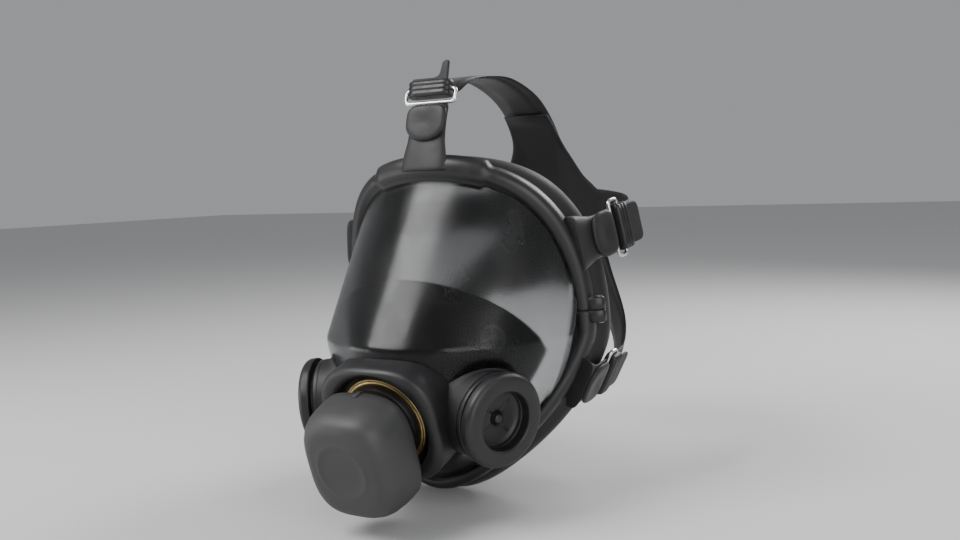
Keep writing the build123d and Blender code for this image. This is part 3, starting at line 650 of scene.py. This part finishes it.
# ---- Neck, brass ring and exhalation valve
# The neck is a dark tube through the housing and the lens, locked by a turned brass ring in the recess and by a
# moulded nut inside. A soft disc sits on the spoked seat in its mouth.
neck_black = finish("neck_black", (0.005, 0.005, 0.006), (0.012, 0.012, 0.013), Roughness=0.38, Mottle=0.3,
                    Mottle_Scale=90.0, Grain_Scale=2600.0, Grain_Height=0.15)
bm = turned([(21.5, 11.4), (22.1, 12.0), (24.4, 12.0), (25.0, 11.4), (25.0, 6.0), (24.6, 5.6), (24.6, 4.4),
             (25.0, 4.0), (25.0, 0.0), (24.6, -0.4), (24.6, -1.6), (25.0, -2.0), (25.0, -31.0),
             (21.5, -31.0)], steps=96)
bmesh.ops.transform(bm, matrix=front_place, verts=bm.verts)
finish_piece("port_neck", bm, neck_black, "mask", ["port_neck"], recalc=False)
brass = finish("brass", (0.60, 0.45, 0.20), (0.36, 0.26, 0.12), metallic=1.0, Roughness=0.30,
               Roughness_Swing=0.22, Mottle=0.7, Mottle_Scale=220.0, Grain_Scale=6000.0, Grain_Height=0.1)
bm = turned([(25.0, -9.0), (29.4, -9.0), (29.4, -6.5), (28.9, -5.8), (28.2, -5.7), (27.9, -6.0), (27.5, -6.0),
             (27.2, -5.6), (26.4, -5.5), (26.0, -5.8), (25.0, -5.8)], steps=96)
bmesh.ops.transform(bm, matrix=front_place, verts=bm.verts)
finish_piece("brass_ring", bm, brass, "mask", ["brass_ring"], recalc=False)
repaint("front_nut", base_black)
repaint("exhale_seat", valve_black)
repaint("exhale_valve", valve_silicone)

# ---- Front cover
# A grey moulded cap over the exhalation valve: a rounded square with soft shoulders, a face with a faint raised ring,
# and ribs inside that grip the neck. It pulls straight off.
cover_grey = finish("cover_grey", (0.036, 0.036, 0.037), (0.054, 0.054, 0.054), Roughness=0.50,
                    Roughness_Swing=0.10, Mottle=0.45, Mottle_Scale=55.0, Grain_Scale=2400.0,
                    Grain_Height=0.28)
COVER_DROP = -7.0
shell = []
for half_x, half_y, power, height, drop in (
    (0.5, 0.5, 2.0, 37.8, 0.0), (12.0, 14.0, 2.2, 37.8, 0.0), (22.0, 26.0, 2.8, 37.6, 0.0),
    (25.4, 29.4, 3.0, 36.6, 0.0), (27.4, 31.4, 3.2, 33.6, 0.0), (28.3, 32.3, 3.3, 28.0, 0.0),
    (28.5, 32.5, 3.4, 10.0, 0.0), (28.9, 33.0, 3.4, 8.3, 0.0), (29.6, 33.8, 3.4, 8.0, 0.0),
    (30.8, 34.9, 3.4, 8.2, 0.0), (31.4, 35.4, 3.4, 9.2, 0.0), (31.5, 35.5, 3.4, 14.0, 0.0),
    (31.1, 35.1, 3.4, 22.0, 0.0), (30.4, 34.4, 3.3, 29.0, 0.0), (29.2, 33.2, 3.2, 33.6, 0.0),
    (27.4, 31.4, 3.1, 37.0, 0.0), (25.0, 29.0, 3.0, 39.2, 0.0), (22.4, 26.4, 2.9, 40.3, 0.2),
    (20.4, 24.0, 2.6, 40.7, 0.6), (18.6, 20.6, 2.3, 40.8, 1.0), (17.6, 18.6, 2.1, 41.1, 1.2),
    (16.8, 17.2, 2.0, 41.4, 1.2), (15.8, 16.0, 2.0, 41.3, 1.2), (14.6, 14.8, 2.0, 40.9, 1.2),
    (11.0, 11.0, 2.0, 40.8, 1.2), (7.0, 7.0, 2.0, 40.8, 1.2), (3.0, 3.0, 2.0, 40.8, 1.2),
    (0.5, 0.5, 2.0, 40.8, 1.2),
):
    ring = []
    for i in range(112):
        x, y = rounded_square(half_x, half_y, power, 2 * pi * i / 112)
        ring.append(front_place @ Vector((x, y + COVER_DROP + drop, height)))
    shell.append(ring)
bm = ring_run(shell)
RIB_INNER, RIB_OUTER, RIB_WIDTH, RIB_DEPTH, RIB_HEIGHT = 25.06, 29.6, 3.0, 6.0, 11.4
for i in range(6):
    rib = bmesh.new()
    bmesh.ops.create_cube(rib, size=1.0)
    bmesh.ops.scale(rib, vec=(RIB_OUTER - RIB_INNER, RIB_WIDTH, RIB_DEPTH), verts=rib.verts)
    bmesh.ops.bevel(rib, geom=rib.edges[:], offset=0.4, segments=2, profile=0.5, affect="EDGES", material=-1)
    bmesh.ops.translate(rib, vec=((RIB_OUTER + RIB_INNER) / 2, 0, RIB_HEIGHT), verts=rib.verts)
    bmesh.ops.rotate(rib, cent=(0, 0, 0), matrix=Matrix.Rotation(radians(30 + 60 * i), 3, "Z"),
                     verts=rib.verts)
    bmesh.ops.transform(rib, matrix=front_place, verts=rib.verts)
    join_into(bm, rib)
finish_piece("front_cover", bm, cover_grey, "cover", ["front_cover"])

# ---- Strap lugs
# Five thick rubber tabs moulded on the seal. Each narrows from a wide root, folds over the bar of its buckle and is
# vulcanised back on itself, which leaves a rounded flap on its outer side.
MM = 1000.0


def buckle_frame(centre, run, out):
    """Matrix of a buckle: x runs along the strap away from the mask, z points outwards."""
    x = Vector(run).normalized()
    z = (Vector(out) - x * Vector(out).dot(x)).normalized()
    y = z.cross(x)
    return Matrix.Translation(Vector(centre)) @ Matrix((x, y, z)).transposed().to_4x4()


buckles = {"top": buckle_frame((0, 11.9, 140.7), (0, 0.258, 0.966), (0, -0.966, 0.258))}
for side, word in ((1, "left"), (-1, "right")):
    for level, centre, run, lean in (
        ("upper", (99.0, 76.1, 54.7), (0.22, 0.95, 0.19), -6.0),
        ("lower", (90.5, 68.2, -42.7), (0.06, 0.985, 0.10), 28.0),
    ):
        upright = Vector((sin(radians(lean)), 0, cos(radians(lean))))
        out = Vector(run).normalized().cross(upright).normalized()
        buckles[f"{level}_{word}"] = buckle_frame((side * centre[0], centre[1], centre[2]),
                                                  (side * run[0], run[1], run[2]),
                                                  (side * out.x, out.y, out.z))


def soft_block(half_w, low, high, round_off, count=40):
    """A rounded strap section as (across, out) points."""
    points = []
    middle, half = (low + high) / 2, (high - low) / 2
    for i in range(count):
        x, y = rounded_square(half_w, half, round_off, 2 * pi * i / count)
        points.append((x, middle + y))
    return points


lug_rubber = finish("lug_rubber", (0.007, 0.007, 0.008), (0.019, 0.019, 0.018), specular=0.45, sheen=0.08,
                    Roughness=0.48, Roughness_Swing=0.14, Mottle=0.4, Mottle_Scale=70.0, Grain_Scale=3000.0,
                    Grain_Height=0.18)
for name, place in buckles.items():
    rings = []
    root = {"t": -46.0, "u": -40.0, "l": -26.6}[name[0]]
    foot = 0.0 if name == "top" else 8.5
    waist = max(-33.0, root + 1.0)
    for s, half, low, high in (
        (root + 0.3, 18.3, -2.2 - foot, 2.0), (root + 1.0, 18.5, -2.4 - foot, 2.4),
        (root * 0.72 + waist * 0.28, 18.5, -2.4 - foot, 2.4),
        (root * 0.3 + waist * 0.7, 18.0, -2.4 - foot * 0.8, 2.3),
        (waist + 3.0, 16.6, -2.3 - foot * 0.45, 2.1), (waist + 6.5, 15.6, -2.2 - foot * 0.1, 1.9),
        (max(waist + 9.0, -21.0), 15.2, -2.1, 1.8), (-15.0, 15.1, -2.1, 1.9), (-9.0, 15.1, -2.2, 2.1),
        (-4.6, 15.3, -2.4, 2.2), (-2.2, 15.3, -2.6, 2.0), (-1.5, 15.3, -2.6, 1.0), (-1.2, 15.2, -2.6, -0.4),
        (0.2, 15.0, -2.5, -1.5), (0.6, 14.6, -2.3, -1.7),
    ):
        rings.append([place @ Vector((s, x, y)) for x, y in soft_block(half, low, high, 4.5)])
    bm = ring_run(rings)
    pad_rings = []
    for inset, height in ((0.0, 1.2), (0.0, 2.6), (0.25, 3.5), (0.9, 4.2), (2.0, 4.6), (4.5, 4.75),
                          (8.0, 4.6), (11.5, 4.4)):
        ring = []
        for i in range(64):
            turn = 2 * pi * i / 64
            x, y = rounded_square(12.0 - inset, 15.1 - inset, 2.2 if cos(turn) < 0 else 4.5, turn)
            dip = -0.5 * max(0.0, 1 - hypot(x + 2, y) / 9.0)
            ring.append(place @ Vector((-14.0 + x, y, height + dip)))
        pad_rings.append(ring)
    join_into(bm, ring_run(pad_rings))
    lug = finish_piece(f"strap_lug_{name}", bm, lug_rubber, "mask", [f"strap_lug_{name}"])
    add_modifier(lug, "SUBSURF", levels=1, render_levels=1)

# ---- Buckles
# A bright wire loop hangs in each lug's eye. Its other bar runs through a ribbed black slider block, and the loose
# end of the strap sticks out of the block as a tail with rounded corners.
bright_wire = finish("bright_wire", (0.80, 0.80, 0.79), (0.55, 0.54, 0.52), metallic=1.0, Roughness=0.16,
                     Roughness_Swing=0.18, Mottle=0.4, Mottle_Scale=260.0, Grain_Scale=6000.0,
                     Grain_Height=0.06)
slider_black = finish("slider_black", (0.008, 0.008, 0.009), (0.022, 0.022, 0.023), Roughness=0.38,
                      Mottle=0.35, Mottle_Scale=140.0, Grain_Scale=3200.0, Grain_Height=0.14)
strap_rubber = finish("strap_rubber", (0.007, 0.007, 0.008), (0.018, 0.018, 0.017), specular=0.4, sheen=0.10,
                      Roughness=0.54, Roughness_Swing=0.12, Mottle=0.45, Mottle_Scale=50.0,
                      Grain_Scale=2600.0, Grain_Height=0.22)
HALF_WIRE, WIRE_REACH, WIRE_BEND, WIRE_RADIUS, WIRE_SIDES = 18.8, 9.0, 2.8, 1.3, 16


def wire_path():
    """The loop's middle line with rounded corners, as (point, direction)."""
    path = []
    corners = ((WIRE_REACH - WIRE_BEND, HALF_WIRE - WIRE_BEND, 90), (WIRE_BEND, HALF_WIRE - WIRE_BEND, 180),
               (WIRE_BEND, -HALF_WIRE + WIRE_BEND, 270),
               (WIRE_REACH - WIRE_BEND, -HALF_WIRE + WIRE_BEND, 360))
    for x, y, last in corners:
        for i in range(9):
            turn = radians(last - 90 + 90 * i / 8)
            path.append((Vector((x + WIRE_BEND * cos(turn), y + WIRE_BEND * sin(turn), 0)),
                         Vector((-sin(turn), cos(turn), 0))))
    return path


for name, place in buckles.items():
    rings = []
    for point, along in wire_path():
        flat = along.cross(Vector((0, 0, 1)))
        ring = []
        for i in range(WIRE_SIDES):
            turn = 2 * pi * i / WIRE_SIDES
            ring.append(place @ (point + flat * (WIRE_RADIUS * cos(turn)) + Vector((0, 0,
                                                                                    WIRE_RADIUS * sin(turn)))))
        rings.append(ring)
    finish_piece(f"buckle_wire_{name}", ring_run(rings, closed=True), bright_wire,
                 f"buckle_{name}", [f"buckle_wire_{name}"])

    rings = []
    for s, low, high, half in (
        (3.2, -1.2, 2.4, 14.6), (3.3, -2.6, 3.6, 15.3), (3.9, -3.6, 4.6, 15.6), (4.9, -4.1, 5.1, 15.6),
        (6.2, -4.2, 5.2, 15.6), (6.9, -4.2, 4.8, 15.4), (7.5, -4.2, 4.8, 15.4), (8.2, -4.2, 5.2, 15.6),
        (9.4, -4.2, 5.2, 15.6), (10.1, -4.2, 4.8, 15.4), (10.7, -4.2, 4.8, 15.4), (11.4, -4.2, 5.2, 15.6),
        (13.0, -4.1, 5.0, 15.6), (14.0, -3.7, 4.4, 15.5), (14.5, -2.8, 3.5, 15.2), (14.6, -1.4, 2.2, 14.6),
    ):
        rings.append([place @ Vector((s, x, y)) for x, y in soft_block(half, low, high, 7.0, 48)])
    finish_piece(f"strap_slider_{name}", ring_run(rings), slider_black, f"buckle_{name}",
                 [f"strap_slider_{name}"])

    outline = []
    if name == "top":
        corners = ((3.6, 13.5, 0.6), (3.6, -13.5, 0.6), (27.2, -13.5, 1.6), (27.2, -10.0, 1.2),
                   (18.0, -8.6, 3.0), (15.9, -4.0, 2.0), (15.9, 13.5, 1.5))
    else:
        corners = ((3.6, 13.5, 0.6), (3.6, -13.5, 0.6), (27.4, -13.5, 5.0), (27.4, 13.5, 5.0))
    for i, (x, y, bend) in enumerate(corners):
        here = Vector((x, y))
        before, after = Vector(corners[i - 1][:2]), Vector(corners[(i + 1) % len(corners)][:2])
        start, end = here + (before - here).normalized() * bend, here + (after - here).normalized() * bend
        for k in range(7):
            t = k / 6
            outline.append(start * (1 - t) ** 2 + here * (2 * t * (1 - t)) + end * t**2)
    middle = Vector((12.0, 0.0))
    rings = []
    for shrink, height in ((1.2, 1.62), (0.4, 1.65), (0.0, 2.05), (0.0, 3.15), (0.4, 3.55), (1.2, 3.58)):
        rings.append([place @ Vector((p.x - shrink * (1 if p.x > middle.x else -1),
                                      p.y - shrink * (1 if p.y > 0 else -1), height)) for p in outline])
    bm = ring_run(rings)
    tail = finish_piece(f"strap_tail_{name}", bm, strap_rubber, f"tail_{name}",
                        [f"strap_tail_{name}"], smooth=True)
    add_modifier(tail, "WEIGHTED_NORMAL", keep_sharp=False)

# ---- Head harness
# One sheet of black rubber: an oval pad behind the head with five arms cut in one with it. Each arm runs forward
# round the head and into a slider.
HEAD = Vector((0.0, 95.0, 40.0))
HEAD_HALF = Vector((84.0, 98.0, 118.0))


def head_point(x, z):
    """The point of the head's form behind a spot."""
    share = 1 - (x / HEAD_HALF.x) ** 2 - ((z - HEAD.z) / HEAD_HALF.z) ** 2
    return Vector((x, HEAD.y + HEAD_HALF.y * sqrt(max(share, 0.0)), z))


def head_out(point):
    """The head form's outward direction at a point."""
    away = point - HEAD
    return Vector((away.x / HEAD_HALF.x**2, away.y / HEAD_HALF.y**2, away.z / HEAD_HALF.z**2)).normalized()


def smooth_run(values, count):
    """A Catmull-Rom run of count points through values."""
    padded = [values[0] * 2 - values[1]] + values + [values[-1] * 2 - values[-2]]
    run = []
    for k in range(count):
        spot = k / (count - 1) * (len(values) - 1)
        i = min(int(spot), len(values) - 2)
        t = spot - i
        a, b, c, d = padded[i:i + 4]
        run.append((b * 2 + (c - a) * t + (a * 2 - b * 5 + c * 4 - d) * t * t + (b * 3 - a - c * 3 + d) * t**3) * 0.5)
    return run


def strap_rings(points, acrosses, halves, thick=2.4, count=44):
    """Rounded strap sections along a smooth run of points."""
    line, wide = smooth_run(points, count), smooth_run(acrosses, count)
    half = smooth_run([Vector((h, 0, 0)) for h in halves], count)
    rings = []
    for i, point in enumerate(line):
        along = (line[min(i + 1, count - 1)] - line[max(i - 1, 0)]).normalized()
        across = (wide[i] - along * wide[i].dot(along)).normalized()
        out = across.cross(along)
        rings.append([point + across * x + out * y for x,
                      y in soft_block(half[i].x, -thick / 2, thick / 2, 6.0, 36)])
    return rings


arm_routes = {"top": ([(0, 36, 155.6), (0, 62, 160.2), (0, 93, 160.4)], (151.0, 136.0, 117.0, 98.0, 82.0))}
for side, word in ((1, "left"), (-1, "right")):
    arm_routes[f"upper_{word}"] = ([(side * 94, 121, 60), (side * 81, 144, 63)],
                                   ((61, 65), (40, 64), (18, 62)))
    arm_routes[f"lower_{word}"] = ([(side * 86, 111, -37), (side * 76, 138, -20)],
                                   ((56, 6), (40, 24), (20, 42)))

for name, place in buckles.items():
    free, lying = arm_routes[name]
    width_way = place.col[1].to_3d()
    if name == "top":
        points = [place @ Vector((9.0, 0, -2.0)), place @ Vector((9.6, 0, -5.5)),
                  place @ Vector((10.2, 0, -10.0))]
        acrosses = [Vector((1, 0, 0))] * 3
        halves = [13.6, 13.8, 15.0]
        for spot in free:
            points.append(Vector(spot))
            acrosses.append(Vector((1, 0, 0)))
            halves.append(18.6)
        for z in lying:
            points.append(head_point(0, z))
            acrosses.append(Vector((1, 0, 0)))
            halves.append(19.0 + max(0.0, (120.0 - z) * 0.2))
        start, end = Vector((0, 44.0, 156.0)), place @ Vector((10.0, 0, -6.0))
    else:
        side = 1 if name.endswith("left") else -1
        points = [place @ Vector((9.5, 0, -2.2)), place @ Vector((16.0, 0, -2.2)),
                  place @ Vector((22.5, 0, -2.6))]
        acrosses = [width_way] * 3
        halves = [13.4, 13.6, 13.8]
        for spot in free:
            points.append(Vector(spot))
            across = (points[-1] - points[-2]).cross(head_out(points[-1])).normalized()
            acrosses.append(across if across.dot(acrosses[-1]) > 0 else across * -1)
            halves.append(14.2)
        for k, (x, z) in enumerate(lying):
            points.append(head_point(side * x, z))
            across = (points[-1] - points[-2]).cross(head_out(points[-1])).normalized()
            acrosses.append(across if across.dot(acrosses[-1]) > 0 else across * -1)
            halves.append(15.0 + 2.0 * k)
        start, end = place @ Vector((44.0, 0, -4.0)), place @ Vector((15.0, 0, -2.2))
    arm = finish_piece(f"harness_arm_{name}", ring_run(strap_rings(points, acrosses, halves)), strap_rubber,
                       None)
    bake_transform(arm)

pad_half = [(18, 138), (21, 118), (27, 104), (35, 91), (46, 82), (52, 76), (52, 54), (42, 46), (38, 34),
            (38, 18), (46, 8), (42, -4), (24, -2)]
pad_corners = [Vector((x, 0, z)) for x, z in pad_half] + [Vector((0, 0, 2))]
pad_corners += [Vector((-x, 0, z)) for x, z in reversed(pad_half)]
pad_outline = smooth_run(pad_corners, 150)
pad_middle = Vector((0.0, 0.0, 50.0))
pad_rings = []
for share, lift in ((0.06, -1.5), (0.3, -1.5), (0.6, -1.5), (0.9, -1.5), (0.975, -1.4), (0.995, -0.8),
                    (1.0, 0.0), (0.995, 0.8), (0.975, 1.4), (0.9, 1.5), (0.6, 1.5), (0.3, 1.5), (0.06, 1.5)):
    ring = []
    for spot in pad_outline:
        flat = pad_middle + (spot - pad_middle) * share
        point = head_point(flat.x, flat.z)
        ring.append(point + head_out(point) * lift)
    pad_rings.append(ring)
bm = ring_run(pad_rings)
finish_piece("head_harness", bm, strap_rubber, "mask", ["head_harness"])

# ---- Studio
# A pale floor under the mask, a soft overhead key, a broad fill and a rim light, and the camera.
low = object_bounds()[0]
floor_mesh = bmesh.new()
bmesh.ops.create_grid(floor_mesh, x_segments=4, y_segments=4, size=6.0)
bmesh.ops.translate(floor_mesh, vec=(0, 0, low[2] - 0.0015), verts=floor_mesh.verts)
floor_data = bpy.data.meshes.new("studio_floor")
floor_mesh.to_mesh(floor_data)
floor_mesh.free()
floor = bpy.data.objects.new("studio_floor", floor_data)
bpy.context.scene.collection.objects.link(floor)
floor_paint = bpy.data.materials.new("studio_floor")
floor_paint.use_nodes = True
floor_paint.node_tree.nodes["Principled BSDF"].inputs["Base Color"].default_value = (0.62, 0.62, 0.62, 1)
floor_paint.node_tree.nodes["Principled BSDF"].inputs["Roughness"].default_value = 0.8
floor_data.materials.append(floor_paint)

world = bpy.data.worlds.new("studio")
bpy.context.scene.world = world
world.use_nodes = True
world.node_tree.nodes["Background"].inputs["Color"].default_value = (0.74, 0.75, 0.77, 1)
world.node_tree.nodes["Background"].inputs["Strength"].default_value = 0.45

for name, spot, size, power in (("key", (-0.55, -0.65, 0.95), 0.7, 16.0),
                                ("fill", (0.95, -0.75, 0.35), 0.9, 8.0),
                                ("rim", (0.35, 0.95, 0.75), 0.6, 12.0),
                                ("low_fill", (-0.8, -0.5, -0.02), 0.5, 3.0)):
    data = bpy.data.lights.new(name, "AREA")
    data.energy = power
    data.size = size
    lamp = bpy.data.objects.new(name, data)
    lamp.location = spot
    lamp.rotation_euler = (Vector((0, 0.03, 0.0)) - Vector(spot)).to_track_quat("-Z", "Y").to_euler()
    bpy.context.scene.collection.objects.link(lamp)

turn, rise, roll = radians(30.0), radians(5.0), radians(-2.0)
right = Vector((cos(turn), sin(turn), 0.0))
toward = Vector((sin(turn) * cos(rise), -cos(turn) * cos(rise), sin(rise)))
up = toward.cross(right)
tilted_right = right * cos(roll) + up * sin(roll)
tilted_up = up * cos(roll) - right * sin(roll)
camera_data = bpy.data.cameras.new("camera")
camera_data.sensor_width = 36.0
camera_data.lens = 37.5
camera = bpy.data.objects.new("camera", camera_data)
EYE_DISTANCE, EYE_RIGHT, EYE_UP = 650.0, 33.4, 33.0
spot = (toward * EYE_DISTANCE + tilted_right * EYE_RIGHT + tilted_up * EYE_UP) / MM
camera.matrix_world = Matrix.Translation(spot) @ Matrix((tilted_right, tilted_up,
                                                         toward)).transposed().to_4x4()
bpy.context.scene.collection.objects.link(camera)
bpy.context.scene.camera = camera
